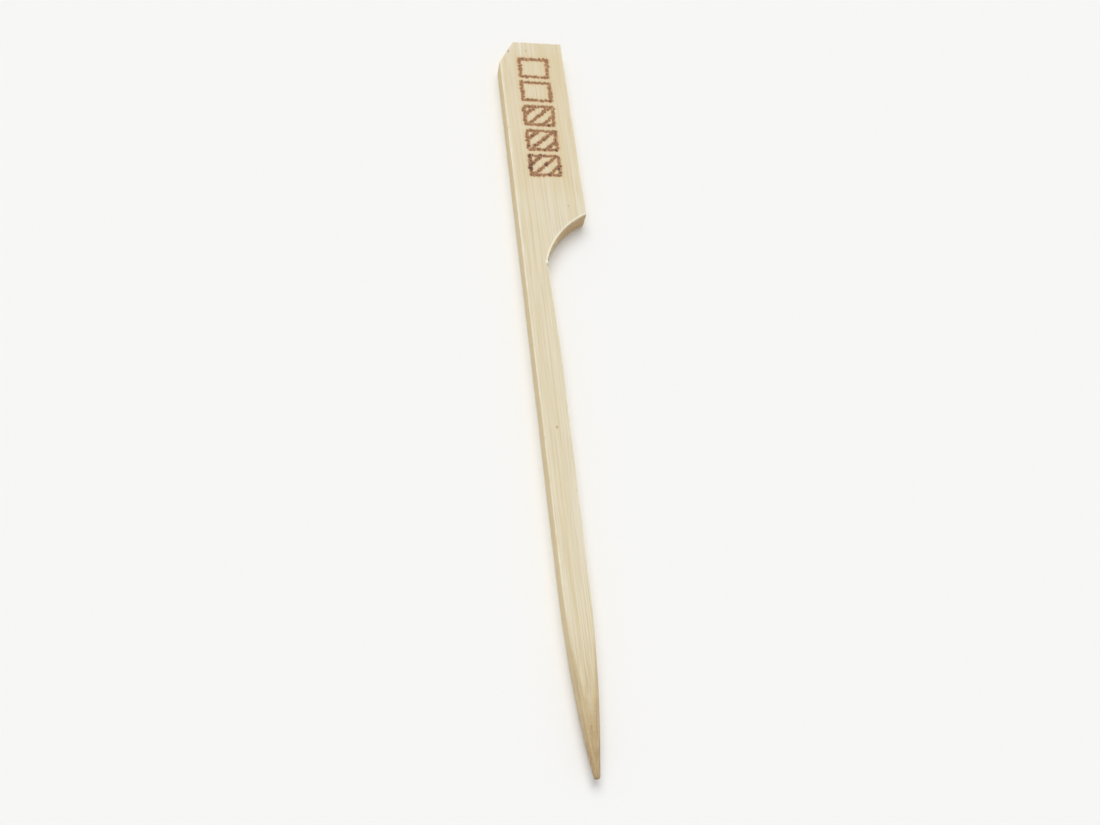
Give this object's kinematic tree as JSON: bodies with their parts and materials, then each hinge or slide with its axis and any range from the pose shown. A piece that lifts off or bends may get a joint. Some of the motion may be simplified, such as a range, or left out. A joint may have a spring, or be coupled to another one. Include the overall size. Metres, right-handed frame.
{
  "type": "bamboo steak marker",
  "caption": "Flat bamboo food pick with a broad paddle head, a concave notch down to a narrow stem, and a ground point.",
  "frame": {"origin": "middle of the marker's bounding box, on the lower face it lies on", "axes": "+Y along the marker from the point to the head, +X across it towards the notch, +Z through its thickness, up"},
  "size_m": [0.0104, 0.12, 0.003],
  "materials": {
    "bamboo": "sawn and tumbled, unfinished, matt"
  },
  "bodies": {
    "root": {"marker": "bamboo"}
  },
  "joints": []
}
